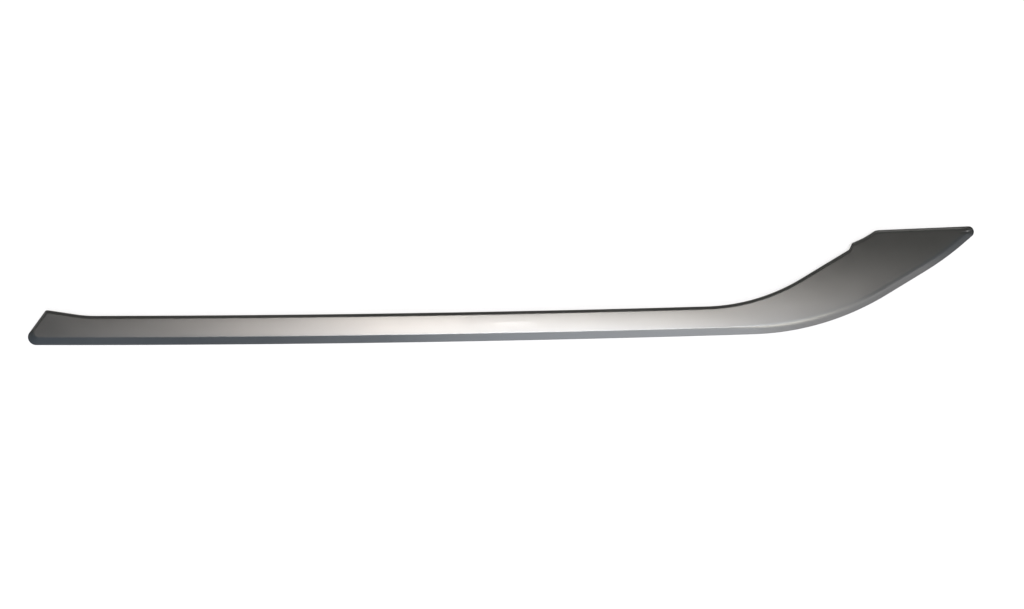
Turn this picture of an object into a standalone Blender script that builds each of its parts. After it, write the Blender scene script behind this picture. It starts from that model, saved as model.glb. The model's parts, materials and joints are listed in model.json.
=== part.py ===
"""A moulded, satin-chromed bumper trim: a long slim strip that bends up and widens into a blade.

It is one thin shell, open at the back. Lengths are in millimetres here and become metres in the mesh.
X runs along the strip from its raked end, Y runs up the face and Z comes out of the show face.
"""

import math

import bmesh
import bpy
import numpy as np

# The outline, seen square on to the show face.
STRIP_HEIGHT = 25.0
LEAD_RUN = 32.6
BOW_RUN = 588.6
BOW_RADIUS = 18800.0
OUTER_BEND_RADIUS = 230.0
INNER_BEND_RADIUS = 163.0
BEND_ANGLE = math.radians(29.4)
BEND_STAGGER = 40.2
BLADE_RUN = 38.8
TIP_SWEEP = 63.0
TIP_SWEEP_RADIUS = 257.0
TIP_CUT_ANGLE = math.radians(2.4)
RAKE_ANGLE = math.radians(53.8)
FLARE_ANGLE = math.radians(8.6)
FLARE_RUN = 24.9
FLARE_RADIUS = 110.0
HEEL_RADIUS = 6.7
TOE_RADIUS = 2.6
SHOULDER_RADIUS = 8.5
TIP_RADIUS = 4.8
EAR_STEP = 3.35
EAR_END_STEP = 2.1
EAR_RAMP = 5.4
EAR_LUG = 10.5
EAR_BACK = 32.4

# The section.
FACE_DEPTH = 13.0
WALL = 2.4
BEVEL_WIDTH = 6.6
BEVEL_DROP = 3.2
EDGE = 0.2
RIDGE_HALF = 0.6
RIDGE_SOFTENING = 2.0
SOFTEN_LEAD = 30.0
SOFTEN_RUN = 60.0
ROLL_WIDTH = 2.4
ROLL_DROP = 0.95
ROLL_HALF = 0.7
CROWN = 0.12
LEAN_BACK = 4.5

# The back.
RIB_THICKNESS = 1.5
RIB_HEIGHT = 4.5
RIB_PITCH = 44.0
TAB_WIDTH = 12.0
TAB_THICKNESS = 2.2
TAB_REACH = 5.0
TAB_ROOT = 6.0
TAB_BARB = 1.2
PAD_LENGTH = 18.0
PAD_WIDTH = 10.0

# How finely round stretches are divided, and how far the closely divided stretch by an end or a bend runs.
END_RUN = 40.0
EASE_RUN = 30.0
END_FADE = 12.0
BOW_STEPS = 20
BEND_STEPS = 22
BLADE_STEPS = 16
END_STEPS = 9
FILLET_STEPS = 3
ACROSS_STEPS = 10

SATIN_CHROME = (0.64, 0.63, 0.61, 1.0)


def along(start, heading, pieces, distance):
    """Point and heading at a distance along a chain of (length, radius) pieces. Radius None is straight."""
    x, y = start
    for length, radius in pieces:
        step = min(distance, length)
        last = (length, radius) == pieces[-1]
        if last:
            step = distance
        if radius is None:
            x += step * math.cos(heading)
            y += step * math.sin(heading)
        else:
            turned = heading + step / radius
            x += radius * (math.sin(turned) - math.sin(heading))
            y += radius * (math.cos(heading) - math.cos(turned))
            heading = turned
        distance -= step
        if distance <= 0.0:
            break
    return np.array([x, y]), heading


BOW_ANGLE = BOW_RUN / BOW_RADIUS
LOWER = [
    (LEAD_RUN, None),
    (BOW_RUN, BOW_RADIUS),
    (OUTER_BEND_RADIUS * BEND_ANGLE, OUTER_BEND_RADIUS),
    (BLADE_RUN, None),
    (TIP_SWEEP, TIP_SWEEP_RADIUS),
]
LOWER_END = sum(length for length, _ in LOWER)
HEEL = np.array([0.0, 0.0])
TIP, TIP_HEADING = along(HEEL, 0.0, LOWER, LOWER_END)

TOE_HEIGHT = STRIP_HEIGHT + FLARE_RUN * math.sin(FLARE_ANGLE) + FLARE_RADIUS * (1 - math.cos(FLARE_ANGLE))
TOE = np.array([TOE_HEIGHT / math.tan(RAKE_ANGLE), TOE_HEIGHT])
FLARE_REACH = TOE[0] + FLARE_RUN * math.cos(FLARE_ANGLE) + FLARE_RADIUS * math.sin(FLARE_ANGLE)
UPPER_TURN = FLARE_ANGLE + (FLARE_REACH - LEAD_RUN) / BOW_RADIUS
UPPER_BOW = BOW_RUN + LEAD_RUN - FLARE_REACH - BEND_STAGGER
UPPER = [
    (FLARE_RUN, None),
    (FLARE_RADIUS * UPPER_TURN, FLARE_RADIUS),
    (UPPER_BOW, BOW_RADIUS),
    (INNER_BEND_RADIUS * BEND_ANGLE, INNER_BEND_RADIUS),
    (8 * STRIP_HEIGHT, None),
]
UPPER_BEND = sum(length for length, _ in UPPER[:3])
UPPER_BEND_END = sum(length for length, _ in UPPER[:4])
LOWER_BEND = LEAD_RUN + BOW_RUN
LOWER_BEND_END = LOWER_BEND + OUTER_BEND_RADIUS * BEND_ANGLE
SEARCH = 8 * STRIP_HEIGHT


def meet(start, direction, point_of, low, high):
    """Distance along a curve where it crosses the line through start in this direction."""
    normal = np.array([-direction[1], direction[0]])

    def side(distance):
        return float(np.dot(point_of(distance) - start, normal))

    sign = side(low) > 0
    for _ in range(60):
        middle = 0.5 * (low + high)
        if (side(middle) > 0) == sign:
            low = middle
        else:
            high = middle
    return 0.5 * (low + high)


CUT_DIRECTION = np.array([math.cos(TIP_CUT_ANGLE), math.sin(TIP_CUT_ANGLE)])
RAKE_DIRECTION = np.array([math.cos(RAKE_ANGLE), math.sin(RAKE_ANGLE)])
SHOULDER = meet(TIP, CUT_DIRECTION, lambda d: along(TOE, -FLARE_ANGLE, UPPER, d)[0],
                UPPER_BEND_END, UPPER_BEND_END + SEARCH)


def ear_step(distance):
    """How far the upper edge stands out for the small ear by the shoulder."""
    start = SHOULDER - EAR_BACK
    if distance <= start:
        return 0.0
    if distance <= start + EAR_RAMP:
        return EAR_STEP * (distance - start) / EAR_RAMP
    share = min(1.0, (distance - start - EAR_RAMP) / EAR_LUG)
    return EAR_STEP + (EAR_END_STEP - EAR_STEP) * share


def smooth(share):
    share = max(0.0, min(1.0, share))
    return share * share * (3 - 2 * share)


def softened(distance):
    """How far the ridge has softened here, from 0 along the strip to 1 in the blade."""
    return smooth((distance - LOWER_BEND + SOFTEN_LEAD) / SOFTEN_RUN)


def lower_point(distance, inset, softening=0.0):
    """A point inset from the lower edge. Where the ridge is soft, the inset changes by the softening."""
    point, heading = along(HEEL, 0.0, LOWER, distance)
    inset += softening * softened(distance)
    return point + inset * np.array([-math.sin(heading), math.cos(heading)])


def upper_point(distance, inset):
    point, heading = along(TOE, -FLARE_ANGLE, UPPER, distance)
    return point + (inset - ear_step(distance)) * np.array([math.sin(heading), -math.cos(heading)])


def fillet(before, corner, after, radius):
    """Points of an arc that rounds a corner between two directions, both ends included."""
    to_before = (before - corner) / np.linalg.norm(before - corner)
    to_after = (after - corner) / np.linalg.norm(after - corner)
    half = 0.5 * math.acos(max(-1.0, min(1.0, float(np.dot(to_before, to_after)))))
    bisector = (to_before + to_after) / np.linalg.norm(to_before + to_after)
    centre = corner + bisector * radius / math.sin(half)
    first = corner + to_before * radius / math.tan(half) - centre
    last = corner + to_after * radius / math.tan(half) - centre
    sweep = math.pi - 2 * half
    turn = math.copysign(sweep, first[0] * last[1] - first[1] * last[0])
    points = []
    for k in range(2 * FILLET_STEPS + 1):
        angle = turn * k / (2 * FILLET_STEPS)
        cos, sin = math.cos(angle), math.sin(angle)
        points.append(centre + np.array([cos * first[0] - sin * first[1], sin * first[0] + cos * first[1]]))
    return points, radius / math.tan(half)


def spread(low, high, steps):
    return [low + (high - low) * k / steps for k in range(steps + 1)]


def loop(low, high, end, softening=0.0):
    """The outline inset by low along the lower edge, high along the upper edge and end at both ends.

    It returns four sides of points, anticlockwise from the heel: lower, tip cut, upper and rake. The last list
    holds how far the ridge has softened at each point of the lower side.
    """
    rake_start = HEEL + end * np.array([RAKE_DIRECTION[1], -RAKE_DIRECTION[0]])
    cut_start = TIP + end * np.array([CUT_DIRECTION[1], -CUT_DIRECTION[0]])
    beyond = 2 * STRIP_HEIGHT
    s_heel = meet(rake_start, RAKE_DIRECTION, lambda d: lower_point(d, low, softening), -beyond, beyond)
    s_tip = meet(cut_start, CUT_DIRECTION, lambda d: lower_point(d, low, softening), LOWER_BEND, LOWER_END + beyond)
    s_toe = meet(rake_start, RAKE_DIRECTION, lambda d: upper_point(d, high), -beyond, beyond)
    s_shoulder = meet(cut_start, CUT_DIRECTION, lambda d: upper_point(d, high), UPPER_BEND_END, SHOULDER + beyond)
    heel, toe = lower_point(s_heel, low, softening), upper_point(s_toe, high)
    tip, shoulder = lower_point(s_tip, low, softening), upper_point(s_shoulder, high)

    def rounded(radius, inset):
        return max(radius - inset, 0.8)

    near = 1.5 * HEEL_RADIUS
    arc_heel, t_heel = fillet(toe, heel, lower_point(s_heel + near, low, softening), rounded(HEEL_RADIUS, end))
    arc_tip, t_tip = fillet(lower_point(s_tip - near, low, softening), tip, shoulder, rounded(TIP_RADIUS, end))
    arc_shoulder, t_shoulder = fillet(tip, shoulder, upper_point(s_shoulder - near, high),
                                      rounded(SHOULDER_RADIUS, end))
    arc_toe, t_toe = fillet(upper_point(s_toe + near, high), toe, heel, rounded(TOE_RADIUS, end))

    half = FILLET_STEPS
    lead = spread(s_heel + t_heel, LEAD_RUN + END_RUN, END_STEPS)
    bow = spread(LEAD_RUN + END_RUN, LOWER_BEND - EASE_RUN, BOW_STEPS)
    bend = spread(LOWER_BEND - EASE_RUN, LOWER_BEND_END, BEND_STEPS)
    blade = spread(LOWER_BEND_END, s_tip - t_tip, BLADE_STEPS)
    lower_run = lead + bow[1:] + bend[1:] + blade[1:]
    lower = arc_heel[half:-1] + [lower_point(s, low, softening) for s in lower_run] + arc_tip[1:half + 1]
    soft = [0.0] * half + [softened(s) for s in lower_run] + [1.0] * half

    flare_end = FLARE_RUN + FLARE_RADIUS * UPPER_TURN + 0.45 * END_RUN
    bend_ease = UPPER_BEND - 0.25 * EASE_RUN
    ear = SHOULDER - EAR_BACK
    lead = spread(s_toe + t_toe, flare_end, END_STEPS)
    bow = spread(flare_end, bend_ease, BOW_STEPS)
    bend = spread(bend_ease, UPPER_BEND_END, BEND_STEPS)
    plain = BLADE_STEPS - 8
    blade = spread(UPPER_BEND_END, ear, plain)
    lug_end = ear + EAR_RAMP + EAR_LUG
    blade += [ear + EAR_RAMP * 0.5, ear + EAR_RAMP, ear + EAR_RAMP + 0.5 * EAR_LUG]
    blade += spread(lug_end, s_shoulder - t_shoulder, 4)
    upper_run = lead + bow[1:] + bend[1:] + blade[1:]
    upper = arc_toe[:half + 1][::-1] + [upper_point(s, high) for s in upper_run[1:-1]]
    upper = upper + arc_shoulder[half:][::-1]

    straight = spread(0.0, 1.0, ACROSS_STEPS - 2 * half)
    first, last = arc_tip[-1], arc_shoulder[0]
    cut = arc_tip[half:-1] + [first + (last - first) * t for t in straight] + arc_shoulder[1:half + 1]
    first, last = arc_toe[-1], arc_heel[0]
    rake = arc_toe[half:-1] + [first + (last - first) * t for t in straight] + arc_heel[1:half + 1]
    return lower, cut, upper[::-1], rake, soft


LEAN_FROM = along(TOE, -FLARE_ANGLE, UPPER, UPPER_BEND)[0][1]


def lean(point):
    """How far the face has dropped back here, as the blade leans back the higher it rises above the strip."""
    share = (float(point[1]) - LEAN_FROM) / (TIP[1] - LEAN_FROM)
    return LEAN_BACK * max(0.0, share) ** 2


def ring(low, high, end, z_low, z_high, softening=0.0, drop=0.0, top=True):
    """One closed ring of points. The height goes over from one edge's to the other's round the end corners.

    The softening moves the ring across the ridge in the blade, and drop is how much lower that puts it.
    """
    *sides, soft = loop(low, high, end, softening)
    points = []
    half = FILLET_STEPS
    for number, side in enumerate(sides):
        count = len(side) - 1
        for k, (x, y) in enumerate(side[:-1]):
            if number == 0:
                share = min(1.0, 0.5 + 0.5 * min(k, count - k) / half)
            elif number == 1:
                share = max(0.0, 0.5 - 0.5 * k / half)
            elif number == 3:
                share = max(0.0, 0.5 - 0.5 * (count - k) / half)
            else:
                share = 0.0
            lower = z_low - drop * soft[k] if number == 0 else z_low
            z = z_high + (lower - z_high) * smooth(share)
            points.append((x, y, z - lean((x, y)) if top else z))
    return points, [len(side) - 1 for side in sides]


def patch(points, counts, level):
    """Rows of points that fill a ring at this height, leant back and crowned, with the ring's own round the outside."""
    n, m = counts[0], counts[1]
    loop_points = np.array(points)
    low = loop_points[:n + 1]
    right = loop_points[n:n + m + 1]
    up = loop_points[n + m:2 * n + m + 1][::-1]
    left = np.vstack([loop_points[2 * n + m:], loop_points[:1]])[::-1]
    run = np.concatenate([[0.0], np.cumsum(np.linalg.norm(np.diff(0.5 * (low + up), axis=0), axis=1))])
    total = run[-1]
    rows = []
    for i in range(n + 1):
        near_left, near_right = math.exp(-run[i] / END_FADE), math.exp(-0.6 * (total - run[i]) / END_FADE)
        row = []
        for j in range(m + 1):
            v = j / m
            plain = (1 - v) * low[i] + v * up[i]
            from_left = left[j] - ((1 - v) * left[0] + v * left[-1])
            from_right = right[j] - ((1 - v) * right[0] + v * right[-1])
            point = plain + near_left * from_left + near_right * from_right
            if i == 0:
                point = left[j].copy()
            elif i == n:
                point = right[j].copy()
            elif 0 < j < m:
                fade = min(1.0, 0.85 * run[i] / END_FADE, 0.5 * (total - run[i]) / END_FADE)
                point[2] = level - lean(point) + CROWN * 4 * v * (1 - v) * fade
            row.append(point)
        rows.append(row)
    return rows


def build_mesh(name, points, faces):
    mesh = bpy.data.meshes.new(name)
    mesh.from_pydata([tuple(0.001 * c for c in p) for p in points], [], faces)
    made = bmesh.new()
    made.from_mesh(mesh)
    bmesh.ops.recalc_face_normals(made, faces=made.faces)
    if made.calc_volume(signed=True) < 0.0:
        bmesh.ops.reverse_faces(made, faces=made.faces)
    made.to_mesh(mesh)
    made.free()
    return mesh


def shell():
    """The open-backed shell: outer wall, rolled and bevelled edges, face, and the same again inside."""
    face, bevel, roll = FACE_DEPTH, FACE_DEPTH - BEVEL_DROP, FACE_DEPTH - ROLL_DROP
    slope, roll_slope = BEVEL_DROP / BEVEL_WIDTH, ROLL_DROP / ROLL_WIDTH
    tilt, roll_tilt = math.atan(slope), math.atan(roll_slope)
    half, soft = RIDGE_HALF, RIDGE_SOFTENING
    inner_bevel = bevel + slope * WALL - WALL / math.cos(tilt)
    outer = [
        (0.0, 0.0, 0.0, 0.0, 0.0, 0.0, 0.0, False),
        (0.0, 0.0, 0.0, bevel - EDGE, roll - EDGE, 0.0, 0.0, True),
    ]
    for back, up in ((0.25, -0.25), (1.0, 0.0)):
        low, high = back * EDGE * math.cos(tilt), back * EDGE * math.cos(roll_tilt)
        z_low = bevel + up * EDGE + back * EDGE * math.sin(tilt)
        z_high = roll + up * EDGE + back * EDGE * math.sin(roll_tilt)
        outer.append((low, high, high, z_low, z_high, 0.0, 0.0, True))
    for across, down in ((-1.0, 1.0), (0.0, 0.25), (1.0, 0.0)):
        high = ROLL_WIDTH + across * ROLL_HALF
        outer.append((BEVEL_WIDTH + across * half, high, high, face - down * half * slope,
                      face - down * ROLL_HALF * roll_slope, across * soft, down * soft * slope, True))
    inner = [
        (WALL, WALL, WALL, 0.0, 0.0, 0.0, 0.0, False),
        (WALL, WALL, WALL, inner_bevel - 0.6, face - WALL - 0.8, 0.0, 0.0, True),
        (WALL + 0.5, WALL + 0.8, WALL + 0.8, inner_bevel, face - WALL, 0.0, 0.0, True),
        (BEVEL_WIDTH + 1.4 * half, WALL + 2.0, WALL + 2.0, face - WALL, face - WALL, soft, 0.0, True),
    ]
    points, faces, rings = [], [], []
    for low, high, end, z_low, z_high, softening, drop, top in outer + inner:
        made, counts = ring(low, high, end, z_low, z_high, softening, drop, top)
        rings.append(len(points))
        points += made
    size = 2 * (counts[0] + counts[1])
    order = [6, 5, 4, 3, 2, 1, 0, 7, 8, 9, 10]
    for a, b in zip(order, order[1:]):
        for k in range(size):
            following = (k + 1) % size
            faces.append((rings[a] + k, rings[b] + k, rings[b] + following, rings[a] + following))
    for which, level in ((6, face), (10, face - WALL)):
        start = rings[which]
        rows = patch(points[start:start + size], counts, level)
        n, m = counts[0], counts[1]
        index = {}
        for i in range(n + 1):
            for j in range(m + 1):
                if j == 0:
                    index[i, j] = start + i
                elif i == n:
                    index[i, j] = start + n + j
                elif j == m:
                    index[i, j] = start + n + m + (n - i)
                elif i == 0:
                    index[i, j] = start + 2 * n + m + (m - j)
                else:
                    index[i, j] = len(points)
                    points.append(tuple(rows[i][j]))
        for i in range(n):
            for j in range(m):
                faces.append((index[i, j], index[i + 1, j], index[i + 1, j + 1], index[i, j + 1]))
    return build_mesh("shell", points, faces)


def prism(outline, origin, across, along_axis, thickness):
    """A flat plate: an outline in (across, up) coordinates, given this thickness along the other axis."""
    count = len(outline)
    points = []
    for side in (-0.5, 0.5):
        for a, z in outline:
            x = origin[0] + a * across[0] + side * thickness * along_axis[0]
            y = origin[1] + a * across[1] + side * thickness * along_axis[1]
            points.append((x, y, z))
    faces = [tuple(range(count)), tuple(range(2 * count - 1, count - 1, -1))]
    for k in range(count):
        following = (k + 1) % count
        faces.append((k, following, count + following, count + k))
    return points, faces


def slant(point_of, distance, across):
    """How square a plate stands to a wall: 1 where it meets the wall at a right angle."""
    inward = point_of(distance, 1.0) - point_of(distance, 0.0)
    return abs(float(np.dot(inward, across)))


def rib(lower_run, upper_run):
    """A low cross rib under the face from wall to wall, sunk half way into both walls and into the face."""
    start, finish = lower_point(lower_run, 0.0), upper_point(upper_run, 0.0)
    width = float(np.linalg.norm(finish - start))
    across = (finish - start) / width
    sideways = np.array([across[1], -across[0]])
    low, high = slant(lower_point, lower_run, across), slant(upper_point, upper_run, across)
    sunk = 0.5 * WALL
    flat, corner = (BEVEL_WIDTH + 2 * sunk) / low, 0.8 * BEVEL_WIDTH / low
    foot = [FACE_DEPTH - WALL - RIB_HEIGHT - lean(end) for end in (start, finish)]
    outline = [(sunk / low, foot[0]), (width - sunk / high, foot[1]),
               (width - sunk / high, FACE_DEPTH - sunk - ROLL_DROP - lean(finish)),
               (width - (sunk + ROLL_WIDTH) / high, FACE_DEPTH - sunk - lean(finish)),
               (flat, FACE_DEPTH - sunk - lean(start)),
               (corner, FACE_DEPTH - 0.2 * BEVEL_DROP - 1.4 * sunk - lean(start)),
               (sunk / low, FACE_DEPTH - BEVEL_DROP - 0.8 * sunk - lean(start))]
    return prism(outline, start, across, sideways, RIB_THICKNESS)


def tab(point_of, distance):
    """A snap tab on the inside of a wall. It reaches past the rim and has a barb facing out."""
    point = point_of(distance, 0.0)
    inside = point_of(distance, 1.0) - point
    tangent = np.array([inside[1], -inside[0]])
    near, far = WALL - 1.0, WALL - 1.0 + TAB_THICKNESS
    foot = -TAB_REACH
    outline = [(near, TAB_ROOT), (far, TAB_ROOT), (far, foot + 0.4), (far - 0.4, foot), (near + 0.5, foot),
               (near - TAB_BARB, foot + 1.6), (near - TAB_BARB, foot + 2.1), (near, foot + 2.5)]
    return prism(outline, point, inside, tangent, TAB_WIDTH)


def pad(lower_run, upper_run):
    """A flat-ended seat pad in the blade, flush with the rim and joined to the face."""
    start, finish = lower_point(lower_run, 0.0), upper_point(upper_run, 0.0)
    width = float(np.linalg.norm(finish - start))
    across = (finish - start) / width
    sideways = np.array([across[1], -across[0]])
    middle, half = 0.5 * width, 0.5 * PAD_WIDTH
    top = FACE_DEPTH - 0.5 * WALL - max(lean(start), lean(finish))
    wall = RIB_THICKNESS
    outline = [(middle - half, 0.0), (middle + half, 0.0), (middle + half, top), (middle + half - wall, top),
               (middle + half - wall, wall), (middle - half + wall, wall), (middle - half + wall, top),
               (middle - half, top)]
    return prism(outline, start, across, sideways, PAD_LENGTH)


def upper_beside(lower_run):
    """Distance along the upper edge of the point straight above one on the lower edge."""
    foot = lower_point(lower_run, 0.0)
    return meet(foot, np.array([0.0, 1.0]), lambda d: upper_point(d, 0.0), 0.0, UPPER_BEND_END)


def features():
    """Points and faces of each rib, tab and pad."""
    made = []
    bays = max(2, round(BOW_RUN / RIB_PITCH))
    ribs = spread(LEAD_RUN + 0.3 * RIB_PITCH, LOWER_BEND - 0.45 * RIB_PITCH, bays)
    for run in ribs:
        made.append(rib(run, upper_beside(run)))
    for bay, (here, following) in enumerate(zip(ribs, ribs[1:])):
        middle = 0.5 * (here + following)
        if bay % 2 == 0:
            made.append(tab(lower_point, middle))
        else:
            made.append(tab(upper_point, upper_beside(middle)))

    def in_bend(share):
        return LOWER_BEND + share * (LOWER_BEND_END - LOWER_BEND), UPPER_BEND + share * (UPPER_BEND_END - UPPER_BEND)

    def in_blade(share):
        lower_end, upper_end = LOWER_END - 0.7 * STRIP_HEIGHT, SHOULDER - 0.7 * STRIP_HEIGHT
        return LOWER_BEND_END + share * (lower_end - LOWER_BEND_END), UPPER_BEND_END + share * (upper_end - UPPER_BEND_END)

    for share in (0.3, 0.65, 1.0):
        made.append(rib(*in_bend(share)))
    for share in (0.38, 0.76):
        made.append(rib(*in_blade(share)))
    made.append(pad(*in_bend(0.83)))
    made.append(tab(lower_point, in_bend(0.12)[0]))
    made.append(tab(upper_point, in_bend(0.48)[1]))
    made.append(tab(lower_point, in_bend(0.83)[0]))
    made.append(tab(upper_point, in_blade(0.19)[1]))
    made.append(tab(lower_point, in_blade(0.57)[0]))
    return made


def main():
    for old in list(bpy.data.objects):
        bpy.data.objects.remove(old, do_unlink=True)
    trim = bpy.data.collections.new("bumper_chrome_trim")
    helpers = bpy.data.collections.new("cutters")
    bpy.context.scene.collection.children.link(trim)
    bpy.context.scene.collection.children.link(helpers)

    material = bpy.data.materials.new("satin_chrome")
    material.use_nodes = True
    shader = material.node_tree.nodes["Principled BSDF"]
    shader.inputs["Base Color"].default_value = SATIN_CHROME
    shader.inputs["Metallic"].default_value = 1.0
    shader.inputs["Roughness"].default_value = 0.4

    strip = bpy.data.objects.new("trim_strip", shell())
    strip.data.materials.append(material)
    trim.objects.link(strip)
    for number, (points, faces) in enumerate(features()):
        piece = bpy.data.objects.new(f"feature_{number:02d}", build_mesh("feature", points, faces))
        piece.hide_render = True
        piece.display_type = "WIRE"
        helpers.objects.link(piece)
    join = strip.modifiers.new("join_features", "BOOLEAN")
    join.operation = "UNION"
    join.solver = "EXACT"
    join.operand_type = "COLLECTION"
    join.collection = helpers

    outline = np.array([point for side in loop(0.0, 0.0, 0.0)[:4] for point in side])
    middle = 0.5 * (outline.min(axis=0) + outline.max(axis=0))
    for placed in [strip] + list(helpers.objects):
        placed.location = (-0.001 * middle[0], -0.001 * middle[1], 0.001 * TAB_REACH)


main()
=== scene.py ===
import json
import math
from collections import namedtuple

import bmesh
import bpy
import numpy as np
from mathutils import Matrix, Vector

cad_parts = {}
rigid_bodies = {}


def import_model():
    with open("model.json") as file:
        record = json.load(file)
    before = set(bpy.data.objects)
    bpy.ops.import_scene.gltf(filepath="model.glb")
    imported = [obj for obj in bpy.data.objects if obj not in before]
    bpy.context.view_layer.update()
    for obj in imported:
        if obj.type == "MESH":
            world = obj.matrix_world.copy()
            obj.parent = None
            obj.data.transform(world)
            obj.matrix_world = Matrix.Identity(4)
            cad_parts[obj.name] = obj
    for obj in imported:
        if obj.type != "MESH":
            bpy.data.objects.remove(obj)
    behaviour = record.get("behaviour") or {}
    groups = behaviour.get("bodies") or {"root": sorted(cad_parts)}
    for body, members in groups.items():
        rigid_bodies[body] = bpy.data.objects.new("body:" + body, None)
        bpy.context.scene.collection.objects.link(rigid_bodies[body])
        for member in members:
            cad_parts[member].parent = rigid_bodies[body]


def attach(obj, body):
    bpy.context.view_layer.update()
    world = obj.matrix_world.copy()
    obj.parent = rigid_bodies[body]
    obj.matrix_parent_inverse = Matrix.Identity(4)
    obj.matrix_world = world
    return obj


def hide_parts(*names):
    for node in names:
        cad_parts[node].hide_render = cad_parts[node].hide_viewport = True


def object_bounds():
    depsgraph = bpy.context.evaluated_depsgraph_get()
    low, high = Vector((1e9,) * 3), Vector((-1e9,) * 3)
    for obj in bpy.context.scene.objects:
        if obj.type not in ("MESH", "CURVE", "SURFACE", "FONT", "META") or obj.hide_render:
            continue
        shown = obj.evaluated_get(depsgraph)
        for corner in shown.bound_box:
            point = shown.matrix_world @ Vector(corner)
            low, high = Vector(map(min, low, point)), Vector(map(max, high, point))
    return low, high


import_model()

cad_low, cad_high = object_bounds()

# The outline, seen square on to the show face. Lengths are in millimetres and as in the part's own source.
STRIP_HEIGHT = 25.0
LEAD_RUN = 32.6
BOW_RUN = 588.6
BOW_RADIUS = 18800.0
OUTER_BEND_RADIUS = 230.0
INNER_BEND_RADIUS = 163.0
BEND_ANGLE = math.radians(29.4)
BEND_STAGGER = 40.2
BLADE_RUN = 38.8
TIP_SWEEP = 63.0
TIP_SWEEP_RADIUS = 257.0
TIP_CUT_ANGLE = math.radians(2.4)
RAKE_ANGLE = math.radians(53.8)
FLARE_ANGLE = math.radians(8.6)
FLARE_RUN = 24.9
FLARE_RADIUS = 110.0
HEEL_RADIUS = 6.7
TOE_RADIUS = 2.6
SHOULDER_RADIUS = 8.5
TIP_RADIUS = 4.8
EAR_STEP = 3.35
EAR_END_STEP = 2.1
EAR_RAMP = 5.4
EAR_LUG = 10.5
EAR_BACK = 32.4

# The section.
FACE_DEPTH = 13.0
WALL = 2.4
BEVEL_WIDTH = 6.6
BEVEL_DROP = 3.2
EDGE = 0.2
RIDGE_HALF = 0.6
RIDGE_SOFTENING = 2.0
SOFTEN_LEAD = 30.0
SOFTEN_RUN = 60.0
ROLL_WIDTH = 2.4
ROLL_DROP = 0.95
ROLL_HALF = 0.7
CROWN = 0.12
LEAN_BACK = 4.5

# The moulded back.
RIB_THICKNESS = 1.5
RIB_HEIGHT = 4.5
RIB_PITCH = 44.0
TAB_WIDTH = 12.0
TAB_THICKNESS = 2.2
TAB_REACH = 5.0
TAB_ROOT = 6.0
TAB_BARB = 1.2
PAD_LENGTH = 18.0
PAD_WIDTH = 10.0

# Fine forms of the scene alone, which the solid has no faces to spare for.
RIM_ROUND = 0.3
TAB_EASE = 0.25
EAR_EASE = 0.3  # share of the ear's ramp that is a smooth curve, the rest being straight
LEAST_ROUNDING = 0.5  # share of its radius that a corner keeps, however far it is inset

# The inside of the shell: chamfers where the walls meet the roof, and how far its flat stays off them.
FOOT_CHAMFER = 0.5
FOOT_CHAMFER_HEIGHT = 0.6
ROOF_CHAMFER = 0.8
RIDGE_CLEAR = 1.4 * RIDGE_HALF
ROOF_CLEAR = 2.0

# Where a rib runs in the shell. Its ends are sunk half the wall, and the first three are multiples of that.
RIB_RIDGE_DEPTH = 1.4
RIB_FOOT_DEPTH = 0.8
RIB_FLAT_INSET = 2.0
RIB_RIDGE = 0.8  # share of the bevel's width at which the rib turns down
RIB_RIDGE_DROP = 0.2  # share of the bevel's drop there

# A snap tab: how deep it is sunk in the wall, its chamfers, and where the barb starts, is widest and ends.
TAB_SUNK = 1.0
TAB_TOE = 0.4
TAB_LEAD_IN = 0.5
BARB_HEIGHTS = (1.6, 2.1, 2.5)

# Where the ribs, pad and tabs stand: in rib pitches, in strip heights, and in shares of the bend or blade.
FIRST_RIB = 0.3
LAST_RIB = 0.45
BLADE_MARGIN = 0.7
BEND_RIBS = (0.3, 0.65, 1.0)
BLADE_RIBS = (0.38, 0.76)
PAD_PLACE = 0.83
BEND_TABS = (0.12, 0.48, 0.83)
BLADE_TABS = (0.19, 0.57)

# How finely round stretches are divided: finer than the solid, so that the satin reflections run smoothly.
END_RUN = 40.0
EASE_RUN = 30.0
FLARE_CLOSE = 0.45  # share of END_RUN that stays closely divided after the flare
BEND_CLOSE = 0.25  # share of EASE_RUN that is closely divided before the upper bend
END_FADE = 12.0
TIP_FADE = 0.6  # how fast the tip's shape fades into the face, next to the left end's
CROWN_FADES = (0.6, 0.4)  # how fast the crown rises from the left end and from the tip
BOW_STEPS = 70
BEND_STEPS = 60
BLADE_STEPS = 56
EAR_STEPS = 8
TOP_STEPS = 18
END_STEPS = 22
FILLET_STEPS = 8
TIP_EASE_STEPS = 6
ACROSS_STEPS = 36
EDGE_STEPS = 6
RIDGE_STEPS = 8
RIM_STEPS = 3
WALL_SHARES = (0.35, 0.7)  # shares of the way up the outer wall that get a ring
BEVEL_SHARES = (0.12, 0.4, 0.7)  # and of the way across the bevel and the rolled edge

SEARCH = 8 * STRIP_HEIGHT  # how far past the bend the shoulder can lie
BEYOND = 2 * STRIP_HEIGHT  # how far past an end an inset edge is followed
NEAR = 1.5 * HEEL_RADIUS  # how far from a corner the direction of its edge is taken
HALVINGS = 50
METRES = 0.001
SHARP_ANGLE = math.radians(32.0)  # an edge that turns further is shaded as sharp


def along(start, heading, pieces, distance):
    """Point and heading at a distance along a chain of (length, radius) pieces. Radius None is straight."""
    x, y = start
    for length, radius in pieces:
        step = min(distance, length)
        if (length, radius) == pieces[-1]:
            step = distance
        if radius is None:
            x += step * math.cos(heading)
            y += step * math.sin(heading)
        else:
            turned = heading + step / radius
            x += radius * (math.sin(turned) - math.sin(heading))
            y += radius * (math.cos(heading) - math.cos(turned))
            heading = turned
        distance -= step
        if distance <= 0.0:
            break
    return np.array([x, y]), heading


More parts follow.
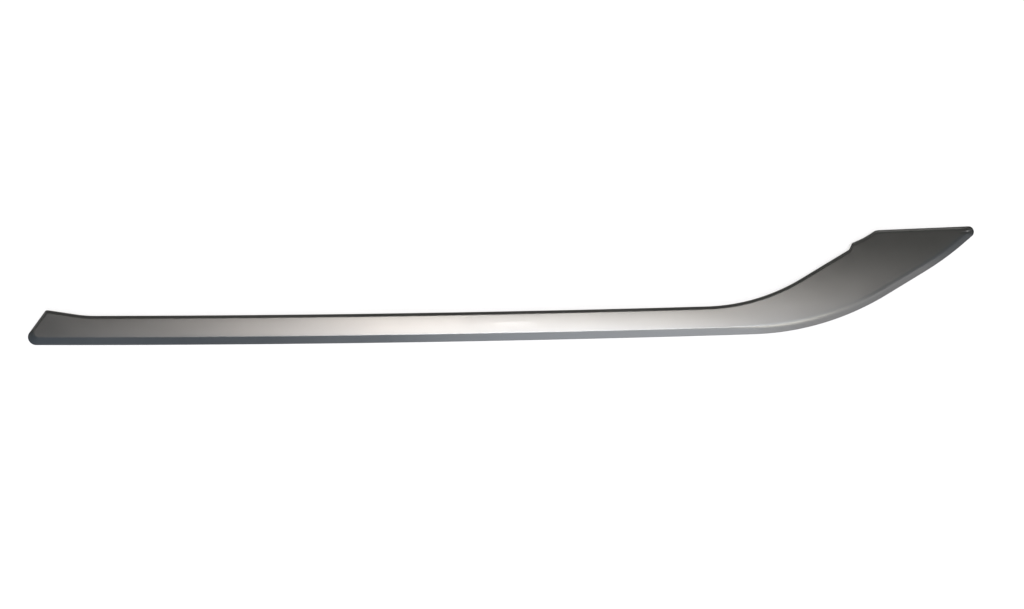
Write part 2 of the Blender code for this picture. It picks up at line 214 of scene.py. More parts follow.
def meet(start, direction, point_of, low, high):
    """Distance along a curve where it crosses the line through start in this direction."""
    normal = np.array([-direction[1], direction[0]])

    def side(distance):
        return float(np.dot(point_of(distance) - start, normal))

    sign = side(low) > 0
    for _ in range(HALVINGS):
        middle = 0.5 * (low + high)
        if (side(middle) > 0) == sign:
            low = middle
        else:
            high = middle
    return 0.5 * (low + high)


LOWER = [
    (LEAD_RUN, None),
    (BOW_RUN, BOW_RADIUS),
    (OUTER_BEND_RADIUS * BEND_ANGLE, OUTER_BEND_RADIUS),
    (BLADE_RUN, None),
    (TIP_SWEEP, TIP_SWEEP_RADIUS),
]
LOWER_BEND = LEAD_RUN + BOW_RUN
LOWER_BEND_END = LOWER_BEND + OUTER_BEND_RADIUS * BEND_ANGLE
LOWER_END = sum(length for length, _ in LOWER)
HEEL = np.array([0.0, 0.0])
TIP = along(HEEL, 0.0, LOWER, LOWER_END)[0]

TOE_HEIGHT = STRIP_HEIGHT + FLARE_RUN * math.sin(FLARE_ANGLE) + FLARE_RADIUS * (1 - math.cos(FLARE_ANGLE))
TOE = np.array([TOE_HEIGHT / math.tan(RAKE_ANGLE), TOE_HEIGHT])
FLARE_REACH = TOE[0] + FLARE_RUN * math.cos(FLARE_ANGLE) + FLARE_RADIUS * math.sin(FLARE_ANGLE)
UPPER_TURN = FLARE_ANGLE + (FLARE_REACH - LEAD_RUN) / BOW_RADIUS
UPPER_BOW = BOW_RUN + LEAD_RUN - FLARE_REACH - BEND_STAGGER
UPPER = [
    (FLARE_RUN, None),
    (FLARE_RADIUS * UPPER_TURN, FLARE_RADIUS),
    (UPPER_BOW, BOW_RADIUS),
    (INNER_BEND_RADIUS * BEND_ANGLE, INNER_BEND_RADIUS),
    (SEARCH, None),
]
UPPER_BEND = sum(length for length, _ in UPPER[:3])
UPPER_BEND_END = sum(length for length, _ in UPPER[:4])
LEAN_FROM = along(TOE, -FLARE_ANGLE, UPPER, UPPER_BEND)[0][1]

CUT_DIRECTION = np.array([math.cos(TIP_CUT_ANGLE), math.sin(TIP_CUT_ANGLE)])
RAKE_DIRECTION = np.array([math.cos(RAKE_ANGLE), math.sin(RAKE_ANGLE)])
SHOULDER = meet(TIP, CUT_DIRECTION, lambda distance: along(TOE, -FLARE_ANGLE, UPPER, distance)[0],
                UPPER_BEND_END, UPPER_BEND_END + SEARCH)
EAR = SHOULDER - EAR_BACK


def smooth(share):
    share = max(0.0, min(1.0, share))
    return share * share * (3 - 2 * share)


def ear_step(distance):
    """How far the upper edge stands out for the small ear by the shoulder."""
    if distance <= EAR:
        return 0.0
    if distance <= EAR + EAR_RAMP:
        share = (distance - EAR) / EAR_RAMP
        return EAR_STEP * ((1 - EAR_EASE) * share + EAR_EASE * smooth(share))
    share = min(1.0, (distance - EAR - EAR_RAMP) / EAR_LUG)
    return EAR_STEP + (EAR_END_STEP - EAR_STEP) * share


def softened(distance):
    """How far the ridge has softened here, from 0 along the strip to 1 in the blade."""
    return smooth((distance - LOWER_BEND + SOFTEN_LEAD) / SOFTEN_RUN)


def lower_point(distance, inset, softening=0.0):
    """A point inset from the lower edge. Where the ridge is soft, the inset changes by the softening."""
    point, heading = along(HEEL, 0.0, LOWER, distance)
    inset += softening * softened(distance)
    return point + inset * np.array([-math.sin(heading), math.cos(heading)])


def upper_point(distance, inset):
    point, heading = along(TOE, -FLARE_ANGLE, UPPER, distance)
    return point + (inset - ear_step(distance)) * np.array([math.sin(heading), -math.cos(heading)])


def lean(point):
    """How far the face has dropped back here, as the blade leans back the higher it rises above the strip."""
    share = (float(point[1]) - LEAN_FROM) / (TIP[1] - LEAN_FROM)
    return LEAN_BACK * max(0.0, share) ** 2


def fillet(before, corner, after, radius):
    """Points of an arc that rounds a corner, both ends included, and how far from the corner it starts."""
    to_before = (before - corner) / np.linalg.norm(before - corner)
    to_after = (after - corner) / np.linalg.norm(after - corner)
    half = 0.5 * math.acos(max(-1.0, min(1.0, float(np.dot(to_before, to_after)))))
    bisector = (to_before + to_after) / np.linalg.norm(to_before + to_after)
    centre = corner + bisector * radius / math.sin(half)
    first = corner + to_before * radius / math.tan(half) - centre
    last = corner + to_after * radius / math.tan(half) - centre
    turn = math.copysign(math.pi - 2 * half, first[0] * last[1] - first[1] * last[0])
    points = []
    for k in range(2 * FILLET_STEPS + 1):
        angle = turn * k / (2 * FILLET_STEPS)
        cos, sin = math.cos(angle), math.sin(angle)
        points.append(centre + np.array([cos * first[0] - sin * first[1], sin * first[0] + cos * first[1]]))
    return points, radius / math.tan(half)


def spread(low, high, steps):
    return [low + (high - low) * k / steps for k in range(steps + 1)]


def chained(stops, steps):
    """Distances from the first stop to the last, with each stretch divided into its own number of steps."""
    run = [stops[0]]
    for low, high, count in zip(stops, stops[1:], steps):
        run += spread(low, high, count)[1:]
    return run


def loop(low, high, softening):
    """The outline, inset by low along the lower edge and by high along the others.

    It returns four sides of points, anticlockwise from the heel: lower, tip cut, upper and rake. The second
    list holds how far the ridge has softened at each point of the lower side.
    """

    def lower_at(distance):
        return lower_point(distance, low, softening)

    def upper_at(distance):
        return upper_point(distance, high)

    def rounded(radius):
        return max(radius - high, LEAST_ROUNDING * radius)

    rake_start = HEEL + high * np.array([RAKE_DIRECTION[1], -RAKE_DIRECTION[0]])
    cut_start = TIP + high * np.array([CUT_DIRECTION[1], -CUT_DIRECTION[0]])
    to_heel = meet(rake_start, RAKE_DIRECTION, lower_at, -BEYOND, BEYOND)
    to_tip = meet(cut_start, CUT_DIRECTION, lower_at, LOWER_BEND, LOWER_END + BEYOND)
    to_toe = meet(rake_start, RAKE_DIRECTION, upper_at, -BEYOND, BEYOND)
    to_shoulder = meet(cut_start, CUT_DIRECTION, upper_at, UPPER_BEND_END, SHOULDER + BEYOND)
    heel, tip = lower_at(to_heel), lower_at(to_tip)
    toe, shoulder = upper_at(to_toe), upper_at(to_shoulder)

    heel_arc, past_heel = fillet(toe, heel, lower_at(to_heel + NEAR), rounded(HEEL_RADIUS))
    tip_arc, before_tip = fillet(lower_at(to_tip - NEAR), tip, shoulder, rounded(TIP_RADIUS))
    short_of_shoulder = upper_at(to_shoulder - NEAR)
    shoulder_arc, before_shoulder = fillet(tip, shoulder, short_of_shoulder, rounded(SHOULDER_RADIUS))
    toe_arc, past_toe = fillet(upper_at(to_toe + NEAR), toe, heel, rounded(TOE_RADIUS))

    lower_stops = [to_heel + past_heel, LEAD_RUN + END_RUN, LOWER_BEND - EASE_RUN, LOWER_BEND_END,
                   to_tip - before_tip]
    lower_run = chained(lower_stops, [END_STEPS, BOW_STEPS, BEND_STEPS, BLADE_STEPS])
    half = FILLET_STEPS
    lower = heel_arc[half:-1] + [lower_at(distance) for distance in lower_run] + tip_arc[1:half + 1]
    soft = [0.0] * half + [softened(distance) for distance in lower_run] + [1.0] * half

    flare_end = FLARE_RUN + FLARE_RADIUS * UPPER_TURN + FLARE_CLOSE * END_RUN
    bend_start = UPPER_BEND - BEND_CLOSE * EASE_RUN
    upper_stops = [to_toe + past_toe, flare_end, bend_start, UPPER_BEND_END, EAR, EAR + EAR_RAMP,
                   EAR + EAR_RAMP + EAR_LUG, to_shoulder - before_shoulder]
    blade_steps = [BLADE_STEPS - EAR_STEPS - TOP_STEPS, EAR_STEPS, TOP_STEPS // 2, TOP_STEPS // 2]
    upper_run = chained(upper_stops, [END_STEPS, BOW_STEPS, BEND_STEPS] + blade_steps)
    upper = shoulder_arc[half:] + [upper_at(distance) for distance in upper_run[-2:0:-1]] + toe_arc[:half + 1]

    def end_side(before, after):
        """A side from the middle of one corner's arc to the middle of the next one's."""
        first, last = before[-1], after[0]
        straight = [first + (last - first) * share for share in spread(0.0, 1.0, ACROSS_STEPS - 2 * half)]
        return before[half:-1] + straight + after[1:half + 1]

    return [lower, end_side(tip_arc, shoulder_arc), upper, end_side(toe_arc, heel_arc)], soft


# How one ring of the shell runs: its inset and height along the lower edge, and along the others.
# Softening moves it across the ridge in the blade, and drop is how much lower that puts it. The rim and the
# foot of the outer wall don't lean back with the face.
Level = namedtuple("Level", "low high z_low z_high softening drop leans", defaults=(0.0, 0.0, True))
LOWER_SIDE, CUT_SIDE, _, RAKE_SIDE = range(4)


def ring(level):
    """One closed ring of points, and how many there are on the lower side and on the tip cut.

    The height goes over from the lower edge's to the others' round the heel and the tip, where it is halfway
    in the middle of each arc. It takes a few more steps to do so before the tip, where the bevel runs out.
    """
    sides, soft = loop(level.low, level.high, level.softening)
    half = FILLET_STEPS
    points = []
    for number, side in enumerate(sides):
        count = len(side) - 1
        for k, (x, y) in enumerate(side[:-1]):
            lower = level.z_low
            share = 0.0
            if number == LOWER_SIDE:
                lower -= level.drop * soft[k]
                share = min(1.0, 0.5 + 0.5 * min(k / half, (count - k) / (half + TIP_EASE_STEPS)))
            elif number == CUT_SIDE:
                share = max(0.0, 0.5 - 0.5 * k / half)
            elif number == RAKE_SIDE:
                share = max(0.0, 0.5 - 0.5 * (count - k) / half)
            z = level.z_high + (lower - level.z_high) * smooth(share)
            points.append((x, y, z - lean((x, y)) if level.leans else z))
    return points, len(sides[0]) - 1, len(sides[1]) - 1


def patch(points, n, m, height):
    """Rows of points that fill a ring at this height, leant back and crowned, between the ring's own.

    The ring has n steps along its lower and upper sides, and m steps along its two ends.
    """
    loop_points = np.array(points)
    low = loop_points[:n + 1]
    right = loop_points[n:n + m + 1]
    up = loop_points[n + m:2 * n + m + 1][::-1]
    left = np.vstack([loop_points[2 * n + m:], loop_points[:1]])[::-1]
    run = np.concatenate([[0.0], np.cumsum(np.linalg.norm(np.diff(0.5 * (low + up), axis=0), axis=1))])
    rows = []
    for i in range(n + 1):
        before, after = run[i], run[-1] - run[i]
        near_left, near_right = math.exp(-before / END_FADE), math.exp(-TIP_FADE * after / END_FADE)
        fade = smooth(CROWN_FADES[0] * before / END_FADE) * smooth(CROWN_FADES[1] * after / END_FADE)
        row = []
        for j in range(m + 1):
            v = j / m
            plain = (1 - v) * low[i] + v * up[i]
            from_left = left[j] - ((1 - v) * left[0] + v * left[-1])
            from_right = right[j] - ((1 - v) * right[0] + v * right[-1])
            point = plain + near_left * from_left + near_right * from_right
            if i == 0:
                point = left[j].copy()
            elif i == n:
                point = right[j].copy()
            elif 0 < j < m:
                point[2] = height - lean(point) + CROWN * 4 * v * (1 - v) * fade
            row.append(point)
        rows.append(row)
    return rows


def add_patch(points, faces, start, n, m, height):
    """Close the ring that begins at this point with a patch, whose inner points are added to the list."""
    rows = patch(points[start:start + 2 * (n + m)], n, m, height)
    index = {}
    for i in range(n + 1):
        for j in range(m + 1):
            if j == 0:
                index[i, j] = start + i
            elif i == n:
                index[i, j] = start + n + j
            elif j == m:
                index[i, j] = start + n + m + (n - i)
            elif i == 0:
                index[i, j] = start + 2 * n + m + (m - j)
            else:
                index[i, j] = len(points)
                points.append(tuple(rows[i][j]))
    for i in range(n):
        for j in range(m):
            faces.append((index[i, j], index[i + 1, j], index[i + 1, j + 1], index[i, j + 1]))


def build_mesh(name, points, faces):
    """A mesh in metres, with its faces turned outwards."""
    mesh = bpy.data.meshes.new(name)
    mesh.from_pydata([tuple(METRES * c for c in point) for point in points], [], faces)
    made = bmesh.new()
    made.from_mesh(mesh)
    bmesh.ops.recalc_face_normals(made, faces=made.faces)
    if made.calc_volume(signed=True) < 0.0:
        bmesh.ops.reverse_faces(made, faces=made.faces)
    made.to_mesh(mesh)
    made.free()
    return mesh


def bezier(first, corner, last, steps):
    """Points of a quadratic curve from first to last, pulled towards the corner."""
    points = []
    for u in spread(0.0, 1.0, steps):
        near, middle, far = (1 - u) ** 2, 2 * u * (1 - u), u * u
        points.append(tuple(near * a + middle * b + far * c for a, b, c in zip(first, corner, last)))
    return points


def outer_levels(bevel, slope, roll, roll_slope):
    """The rings of the outside, from the rim to the edge of the face."""
    levels = [Level(RIM_ROUND, RIM_ROUND, 0.0, 0.0, leans=False)]
    for k in range(1, RIM_STEPS + 1):
        angle = 0.5 * math.pi * k / RIM_STEPS
        inset, z = RIM_ROUND * (1 - math.sin(angle)), RIM_ROUND * (1 - math.cos(angle))
        levels.append(Level(inset, inset, z, z, leans=False))
    for share in WALL_SHARES:
        levels.append(Level(0.0, 0.0, share * (bevel - EDGE), share * (roll - EDGE), leans=False))
    edges = []
    for foot, angle in ((bevel, math.atan(slope)), (roll, math.atan(roll_slope))):
        last = (EDGE * math.cos(angle), foot + EDGE * math.sin(angle))
        edges.append(bezier((0.0, foot - EDGE), (0.0, foot), last, EDGE_STEPS))
    for (low, z_low), (high, z_high) in zip(*edges):
        levels.append(Level(low, high, z_low, z_high))
    for share in BEVEL_SHARES:
        low = EDGE + share * (BEVEL_WIDTH - RIDGE_HALF - EDGE)
        high = EDGE + share * (ROLL_WIDTH - ROLL_HALF - EDGE)
        into = RIDGE_SOFTENING * share
        levels.append(Level(low, high, bevel + slope * low, roll + roll_slope * high, -into, into * slope))
    for u in spread(0.0, 1.0, RIDGE_STEPS):
        across, down = u * u - (1 - u) ** 2, (1 - u) ** 2
        low, high = BEVEL_WIDTH + RIDGE_HALF * across, ROLL_WIDTH + ROLL_HALF * across
        z_low, z_high = FACE_DEPTH - down * RIDGE_HALF * slope, FACE_DEPTH - down * ROLL_HALF * roll_slope
        softening, drop = RIDGE_SOFTENING * across, RIDGE_SOFTENING * down * slope
        levels.append(Level(low, high, z_low, z_high, softening, drop))
    return levels


def inner_levels(bevel, slope):
    """The rings of the inside, from the rim to the edge of the roof under the face."""
    roof = FACE_DEPTH - WALL
    foot = bevel + slope * WALL - WALL / math.cos(math.atan(slope))
    return [
        Level(WALL - RIM_ROUND, WALL - RIM_ROUND, 0.0, 0.0, leans=False),
        Level(WALL, WALL, RIM_ROUND, RIM_ROUND, leans=False),
        Level(WALL, WALL, foot - FOOT_CHAMFER_HEIGHT, roof - ROOF_CHAMFER),
        Level(WALL + FOOT_CHAMFER, WALL + ROOF_CHAMFER, foot, roof),
        Level(BEVEL_WIDTH + RIDGE_CLEAR, WALL + ROOF_CLEAR, roof, roof, RIDGE_SOFTENING),
    ]


def shell():
    """The skin: rings from the edge of the face over the rim to the roof inside, with both ends closed."""
    bevel, roll = FACE_DEPTH - BEVEL_DROP, FACE_DEPTH - ROLL_DROP
    slope, roll_slope = BEVEL_DROP / BEVEL_WIDTH, ROLL_DROP / ROLL_WIDTH
    points, faces, starts = [], [], []
    for level in outer_levels(bevel, slope, roll, roll_slope)[::-1] + inner_levels(bevel, slope):
        made, n, m = ring(level)
        starts.append(len(points))
        points += made
    size = 2 * (n + m)
    for a, b in zip(starts, starts[1:]):
        for k in range(size):
            following = (k + 1) % size
            faces.append((a + k, b + k, b + following, a + following))
    add_patch(points, faces, starts[0], n, m, FACE_DEPTH)
    add_patch(points, faces, starts[-1], n, m, FACE_DEPTH - WALL)
    return build_mesh("trim_skin", points, faces)


def prism(outline, origin, across, sideways, thickness):
    """A flat plate: an outline in (across, up) coordinates, given this thickness sideways."""
    count = len(outline)
    points = []
    for side in (-0.5, 0.5):
        for a, z in outline:
            x = origin[0] + a * across[0] + side * thickness * sideways[0]
            y = origin[1] + a * across[1] + side * thickness * sideways[1]
            points.append((x, y, z))
    faces = [tuple(range(count)), tuple(range(2 * count - 1, count - 1, -1))]
    for k in range(count):
        following = (k + 1) % count
        faces.append((k, following, count + following, count + k))
    return points, faces


def crossing(lower_run, upper_run):
    """The ends of a line across the channel, its length, its direction and the direction square to it."""
    start, finish = lower_point(lower_run, 0.0), upper_point(upper_run, 0.0)
    width = float(np.linalg.norm(finish - start))
    across = (finish - start) / width
    return start, finish, width, across, np.array([across[1], -across[0]])


def slant(point_of, distance, across):
    """How squarely a line across the channel meets this edge, as the cosine of the angle between them."""
    inward = point_of(distance, 1.0) - point_of(distance, 0.0)
    return abs(float(np.dot(inward, across)))


def rib(lower_run, upper_run):
    """A cross rib whose ends and top are sunk in the shell without coming through its outer skin."""
    start, finish, width, across, sideways = crossing(lower_run, upper_run)
    low, high = slant(lower_point, lower_run, across), slant(upper_point, upper_run, across)
    sunk = 0.5 * WALL
    flat, ridge = (BEVEL_WIDTH + RIB_FLAT_INSET * sunk) / low, RIB_RIDGE * BEVEL_WIDTH / low
    foot = [FACE_DEPTH - WALL - RIB_HEIGHT - lean(end) for end in (start, finish)]
    outline = [
        (sunk / low, foot[0]),
        (width - sunk / high, foot[1]),
        (width - sunk / high, FACE_DEPTH - sunk - ROLL_DROP - lean(finish)),
        (width - (sunk + ROLL_WIDTH) / high, FACE_DEPTH - sunk - lean(finish)),
        (flat, FACE_DEPTH - sunk - lean(start)),
        (ridge, FACE_DEPTH - RIB_RIDGE_DROP * BEVEL_DROP - RIB_RIDGE_DEPTH * sunk - lean(start)),
        (sunk / low, FACE_DEPTH - BEVEL_DROP - RIB_FOOT_DEPTH * sunk - lean(start)),
    ]
    return prism(outline, start, across, sideways, RIB_THICKNESS)


def tab(point_of, distance):
    """A snap tab on the inside of a wall, with a barb on its outer side."""
    point = point_of(distance, 0.0)
    inside = point_of(distance, 1.0) - point
    tangent = np.array([inside[1], -inside[0]])
    near, far = WALL - TAB_SUNK, WALL - TAB_SUNK + TAB_THICKNESS
    foot = -TAB_REACH
    barb_low, barb_high, barb_top = (foot + height for height in BARB_HEIGHTS)
    outline = [
        (near, TAB_ROOT),
        (far, TAB_ROOT),
        (far, foot + TAB_TOE),
        (far - TAB_TOE, foot),
        (near + TAB_LEAD_IN, foot),
        (near - TAB_BARB, barb_low),
        (near - TAB_BARB, barb_high),
        (near, barb_top),
    ]
    return prism(outline, point, inside, tangent, TAB_WIDTH)


def pad(lower_run, upper_run):
    """The seat pad: a U-shaped block that hangs from the roof to the level of the rim."""
    start, finish, width, across, sideways = crossing(lower_run, upper_run)
    low, high = 0.5 * width - 0.5 * PAD_WIDTH, 0.5 * width + 0.5 * PAD_WIDTH
    top = FACE_DEPTH - 0.5 * WALL - max(lean(start), lean(finish))
    wall = RIB_THICKNESS
    outline = [
        (low, 0.0), (high, 0.0), (high, top), (high - wall, top),
        (high - wall, wall), (low + wall, wall), (low + wall, top), (low, top),
    ]
    return prism(outline, start, across, sideways, PAD_LENGTH)


def beside(lower_run):
    """A place on both edges: this distance along the lower one, and straight above it on the upper one."""
    foot, straight_up = lower_point(lower_run, 0.0), np.array([0.0, 1.0])
    upper_run = meet(foot, straight_up, lambda distance: upper_point(distance, 0.0), 0.0, UPPER_BEND_END)
    return lower_run, upper_run


def in_bend(share):
    """A place on both edges, this share of the way through the bend."""
    lower_run = LOWER_BEND + share * (LOWER_BEND_END - LOWER_BEND)
    return lower_run, UPPER_BEND + share * (UPPER_BEND_END - UPPER_BEND)


def in_blade(share):
    """A place on both edges, this share of the way along the blade, up to a margin before its end."""
    lower_end, upper_end = LOWER_END - BLADE_MARGIN * STRIP_HEIGHT, SHOULDER - BLADE_MARGIN * STRIP_HEIGHT
    lower_run = LOWER_BEND_END + share * (lower_end - LOWER_BEND_END)
    return lower_run, UPPER_BEND_END + share * (upper_end - UPPER_BEND_END)


def tabs(places):
    """Tabs on the lower and the upper wall in turn."""
    made = []
    for number, (lower_run, upper_run) in enumerate(places):
        made.append(tab(upper_point, upper_run) if number % 2 else tab(lower_point, lower_run))
    return made


def features():
    """Points and faces of each rib, tab and pad, and how much its edges are eased."""
    bays = max(2, round(BOW_RUN / RIB_PITCH))
    runs = spread(LEAD_RUN + FIRST_RIB * RIB_PITCH, LOWER_BEND - LAST_RIB * RIB_PITCH, bays)
    middles = [0.5 * (here + following) for here, following in zip(runs, runs[1:])]
    end_ribs = [in_bend(share) for share in BEND_RIBS] + [in_blade(share) for share in BLADE_RIBS]
    end_tabs = [in_bend(share) for share in BEND_TABS] + [in_blade(share) for share in BLADE_TABS]
    made = [(rib(*beside(run)), 0.0) for run in runs]
    made += [(shape, TAB_EASE) for shape in tabs(beside(middle) for middle in middles)]
    made += [(rib(*place), 0.0) for place in end_ribs]
    made.append((pad(*in_bend(PAD_PLACE)), 0.0))
    made += [(shape, TAB_EASE) for shape in tabs(end_tabs)]
    return made


def link(obj):
    bpy.context.scene.collection.objects.link(obj)
    return obj


def fitted(points):
    """The points, moved into the solid's frame so that they fill its box."""
    low, high = points.min(axis=0), points.max(axis=0)
    to_low, to_high = np.array(cad_low), np.array(cad_high)
    return to_low + (points - low) * (to_high - to_low) / (high - low)


def trim_mesh():
    """The skin with its ribs, tabs and pad joined on, as one closed mesh in the solid's frame."""
    skin = link(bpy.data.objects.new("skin", shell()))
    helpers = bpy.data.collections.new("features")
    bpy.context.scene.collection.children.link(helpers)
    for number, ((points, faces), eased) in enumerate(features()):
        mesh = build_mesh("feature", points, faces)
        if eased:
            made = bmesh.new()
            made.from_mesh(mesh)
            bmesh.ops.bevel(made, geom=made.edges[:], offset=METRES * eased, segments=2, profile=0.5,
                            affect="EDGES")
            made.to_mesh(mesh)
            made.free()
        helpers.objects.link(bpy.data.objects.new(f"feature_{number:02d}", mesh))
    join = skin.modifiers.new("join", "BOOLEAN")
    join.operation = "UNION"
    join.solver = "EXACT"
    join.operand_type = "COLLECTION"
    join.collection = helpers
    graph = bpy.context.evaluated_depsgraph_get()
    mesh = bpy.data.meshes.new_from_object(skin.evaluated_get(graph))
    for old in [skin] + list(helpers.objects):
        bpy.data.objects.remove(old, do_unlink=True)
    bpy.data.collections.remove(helpers)

    points = np.empty(len(mesh.vertices) * 3)
    mesh.vertices.foreach_get("co", points)
    mesh.vertices.foreach_set("co", fitted(points.reshape(-1, 3)).ravel())
    mesh.shade_smooth()
    mesh.set_sharp_from_angle(angle=SHARP_ANGLE)
    return mesh


def feed(tree, made, inputs):
    """Give each of these inputs of a node its plain value, or link it to another node's output."""
    for key, source in inputs.items():
        if isinstance(source, bpy.types.NodeSocket):
            tree.links.new(source, made.inputs[key])
        else:
            made.inputs[key].default_value = source


def node(tree, kind, place, inputs, **settings):
    """A new node with these settings and inputs."""
    made = tree.nodes.new(kind)
    made.location = place
    for name, value in settings.items():
        setattr(made, name, value)
    feed(tree, made, inputs)
    return made


def grey(level):
    return level, level, level, 1.0


def satin_chrome():
    """Chrome with a fine grain, a slight swell, a haze in its tint and sheen, and a thin clear coat."""
    material = bpy.data.materials.new("satin_chrome")
    material.use_nodes = True
    tree = material.node_tree
    where = node(tree, "ShaderNodeTexCoord", (-1400, 0), {}).outputs["Object"]
    grain = node(tree, "ShaderNodeTexNoise", (-1100, 300), {"Vector": where, "Scale": 2600.0, "Detail": 3.0})
    swell = node(tree, "ShaderNodeTexNoise", (-1100, 0), {"Vector": where, "Scale": 38.0, "Detail": 2.0})
    haze = node(tree, "ShaderNodeTexNoise", (-1100, -300),
                {"Vector": where, "Scale": 14.0, "Detail": 5.0, "Roughness": 0.6})
    tint = node(tree, "ShaderNodeMix", (-600, 300), {
        "Factor": haze.outputs["Fac"],
        "A": (0.700, 0.688, 0.668, 1.0),
        "B": (0.760, 0.750, 0.732, 1.0),
    }, data_type="RGBA")
    rough = node(tree, "ShaderNodeMapRange", (-600, 0), {
        "Value": haze.outputs["Fac"],
        "From Min": 0.3,
        "From Max": 0.7,
        "To Min": 0.285,
        "To Max": 0.325,
    })
    wave = node(tree, "ShaderNodeBump", (-600, -300),
                {"Height": swell.outputs["Fac"], "Strength": 0.10, "Distance": 0.0002})
    fine = node(tree, "ShaderNodeBump", (-300, -300), {
        "Height": grain.outputs["Fac"],
        "Strength": 0.12,
        "Distance": 0.00002,
        "Normal": wave.outputs["Normal"],
    })
    feed(tree, tree.nodes["Principled BSDF"], {
        "Base Color": tint.outputs["Result"],
        "Metallic": 1.0,
        "Roughness": rough.outputs["Result"],
        "Coat Weight": 0.25,
        "Coat Roughness": 0.06,
        "Normal": fine.outputs["Normal"],
    })
    return material


trim = link(bpy.data.objects.new("trim_skin", trim_mesh()))
trim.data.materials.clear()
trim.data.materials.append(satin_chrome())
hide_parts("trim_strip")
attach(trim, "root")

# The floor, the surroundings and the lamps.
FLOOR_HALF = 30.0
FLOOR_COLOUR = 0.9
FLOOR_GLOW = 0.84

CAMERA_SKY = 0.97
BAND_COLOUR = 0.9
BAND_FADE = (0.12, 0.56)  # heights between which the white band by the horizon goes over to the dim top
BAND_LIFT = 0.12  # how much lower both are towards the front
FRONT = (0.25, -0.75)  # the Y of a direction, from where the back ends to where the front is reached
DIM_BACK = (0.0203, 0.0215, 0.0198, 1.0)
DIM_FRONT = (0.0385, 0.0526, 0.0713, 1.0)

MIDDLE = (0.05, -0.02, 0.0)
BLADE = (0.25, 0.0, 0.0)
LAMPS = [
    # Name, place, the point that it shines on, size, watts and colour.
    ("small_top", (0.009, -0.061, 2.2), (0.009, -0.061, 0.0), (0.07, 0.07), 0.38, (1.0, 1.0, 1.0)),
    ("top_left", (-0.25, -0.06, 2.2), (-0.25, -0.06, 0.0), (0.35, 0.35), 1.21, (1.0, 0.917, 0.857)),
    ("top_middle", (0.15, -0.12, 2.2), (0.15, -0.12, 0.0), (0.35, 0.35), 0.82, (1.0, 0.956, 0.893)),
    ("top_right", (0.3, -0.06, 2.2), (0.3, -0.06, 0.0), (0.35, 0.35), 0.516, (1.0, 0.912, 0.816)),
    ("high_front", (0.1, -0.6, 2.1), MIDDLE, (0.6, 0.4), 3.72, (0.858, 0.906, 1.0)),
    ("front", (0.22, -1.55, 1.22), MIDDLE, (0.7, 0.4), 0.6, (0.864, 0.912, 1.0)),
    ("front_right", (0.75, -1.45, 1.22), MIDDLE, (0.7, 0.4), 0.306, (1.0, 0.945, 0.932)),
    ("low_right", (1.25, -1.1, 1.22), MIDDLE, (0.7, 0.4), 0.354, (1.0, 0.942, 0.910)),
    ("high_right", (0.6, -1.1, 1.8), BLADE, (0.6, 0.6), 1.79, (1.0, 0.972, 0.878)),
]


def math_output(tree, operation, place, *sources):
    """The output of a new Math node, whose inputs are these plain values and outputs in order."""
    return node(tree, "ShaderNodeMath", place, dict(enumerate(sources)), operation=operation).outputs[0]


def seen(tree):
    """1 for camera, glossy and transmission rays, so that the white floor shows in metal too.

    It is 0 after a diffuse bounce, or the metal would mirror the glow onto the floor and wash out its shadow.
    """
    path = node(tree, "ShaderNodeLightPath", (-1200, -100), {}).outputs
    plain = math_output(tree, "MAXIMUM", (-1000, -100), path["Is Camera Ray"], path["Is Glossy Ray"])
    clear = math_output(tree, "MAXIMUM", (-800, -100), plain, path["Is Transmission Ray"])
    direct = math_output(tree, "LESS_THAN", (-800, -300), path["Diffuse Depth"], 0.5)
    return math_output(tree, "MULTIPLY", (-600, -100), clear, direct)


def floor():
    mesh = bpy.data.meshes.new("floor")
    corners = [(-1, -1), (1, -1), (1, 1), (-1, 1)]
    mesh.from_pydata([(x * FLOOR_HALF, y * FLOOR_HALF, 0.0) for x, y in corners], [], [(0, 1, 2, 3)])
    material = bpy.data.materials.new("pale_floor")
    material.use_nodes = True
    tree = material.node_tree
    tree.nodes.remove(tree.nodes["Principled BSDF"])
    shown = math_output(tree, "MULTIPLY", (-400, -100), seen(tree), FLOOR_GLOW)
    matt = node(tree, "ShaderNodeBsdfDiffuse", (-200, 100), {"Color": grey(FLOOR_COLOUR)})
    glow = node(tree, "ShaderNodeEmission", (-200, -100), {"Strength": shown})
    both = node(tree, "ShaderNodeAddShader", (0, 0), {0: matt.outputs[0], 1: glow.outputs[0]})
    feed(tree, tree.nodes["Material Output"], {"Surface": both.outputs[0]})
    mesh.materials.append(material)
    made = link(bpy.data.objects.new("floor", mesh))


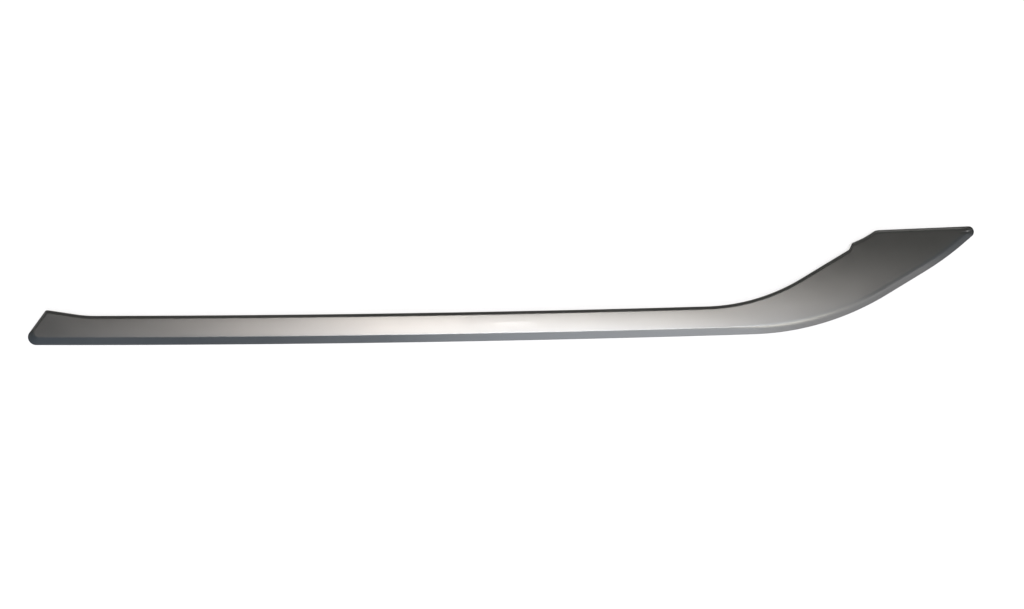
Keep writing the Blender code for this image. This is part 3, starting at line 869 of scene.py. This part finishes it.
def surroundings():
    """Dim above and white near the horizon, which the satin chrome mirrors. The camera sees white."""
    world = bpy.data.worlds.new("studio")
    bpy.context.scene.world = world
    world.use_nodes = True
    tree = world.node_tree
    where = node(tree, "ShaderNodeTexCoord", (-1200, 0), {})
    parts = node(tree, "ShaderNodeSeparateXYZ", (-1000, 0), {0: where.outputs["Generated"]})
    side = node(tree, "ShaderNodeMapRange", (-800, 200),
                {"Value": parts.outputs["Y"], "From Min": FRONT[0], "From Max": FRONT[1]},
                interpolation_type="SMOOTHSTEP").outputs["Result"]
    height = math_output(tree, "MULTIPLY_ADD", (-650, -100), side, BAND_LIFT, parts.outputs["Z"])
    rise = node(tree, "ShaderNodeMapRange", (-450, -100),
                {"Value": height, "From Min": BAND_FADE[0], "From Max": BAND_FADE[1]},
                interpolation_type="SMOOTHSTEP")
    dim = node(tree, "ShaderNodeMix", (-500, 200), {"Factor": side, "A": DIM_BACK, "B": DIM_FRONT},
               data_type="RGBA")
    sky = node(tree, "ShaderNodeMix", (-250, 0), {
        "Factor": rise.outputs["Result"],
        "A": grey(BAND_COLOUR),
        "B": dim.outputs["Result"],
    }, data_type="RGBA")
    path = node(tree, "ShaderNodeLightPath", (-250, 300), {})
    shown = node(tree, "ShaderNodeMix", (0, 0), {
        "Factor": path.outputs["Is Camera Ray"],
        "A": sky.outputs["Result"],
        "B": grey(CAMERA_SKY),
    }, data_type="RGBA")
    feed(tree, tree.nodes["Background"], {"Color": shown.outputs["Result"]})


def lamp(name, place, aim, size, watts, colour):
    light = bpy.data.lights.new(name, "AREA")
    light.shape = "RECTANGLE"
    light.size, light.size_y = size
    light.energy = watts
    light.color = colour
    made = link(bpy.data.objects.new(name, light))
    made.location = place
    direction = Vector([a - b for a, b in zip(aim, place)])
    made.rotation_euler = direction.to_track_quat("-Z", "Y").to_euler()


floor()
surroundings()
for values in LAMPS:
    lamp(*values)

# The camera looks straight down on the face, as in the photo.
CAMERA_PLACE = (0.0089, -0.0159, 1.6)
camera = bpy.data.cameras.new("camera")
camera.sensor_width = 36.0
camera.lens = 65.8
viewer = link(bpy.data.objects.new("camera", camera))
viewer.location = CAMERA_PLACE
viewer.rotation_euler = (0.0, 0.0, 0.0)
bpy.context.scene.camera = viewer
bpy.context.scene.view_settings.view_transform = "Standard"
